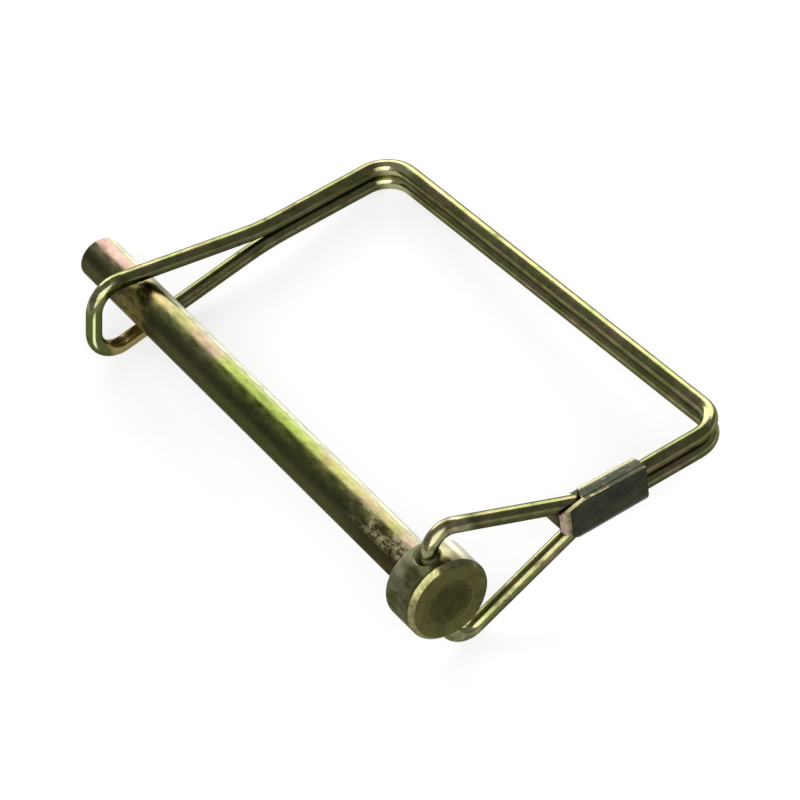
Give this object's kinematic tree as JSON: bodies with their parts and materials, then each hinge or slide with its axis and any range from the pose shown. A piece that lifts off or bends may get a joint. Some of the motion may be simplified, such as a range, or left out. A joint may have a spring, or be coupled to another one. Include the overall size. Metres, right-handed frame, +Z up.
{
  "type": "wire lock pin",
  "caption": "Plain headed steel pin with a square spring-wire bail that turns in the head and hooks round the shank near its tip.",
  "frame": {"origin": "centre of the overall box at the level of the surface it lies on", "axes": "+X from the pin's tip to its head, +Y from the shank to the far side of the bail, +Z up off the surface"},
  "size_m": [0.0906, 0.0578, 0.0215],
  "materials": {
    "pin_plating": "yellow zinc plate, glossy, with dull grime near the head",
    "wire_plating": "yellow zinc plate on drawn wire, glossy",
    "sleeve_plating": "yellow zinc plate on folded sheet, satin"
  },
  "bodies": {
    "pin": {"lock_pin": "pin_plating"},
    "bail": {"wire_bail": "wire_plating", "clamp_sleeve": "sleeve_plating"}
  },
  "joints": [
    {"name": "bail_swing", "type": "hinge", "parent": "pin", "child": "bail", "pos_m": [0.04128, -0.01911, 0.0116], "axis": [0.0726, 0.0043, -0.9974], "range_deg": [0, 255], "deforming": ["wire_bail"]}
  ]
}
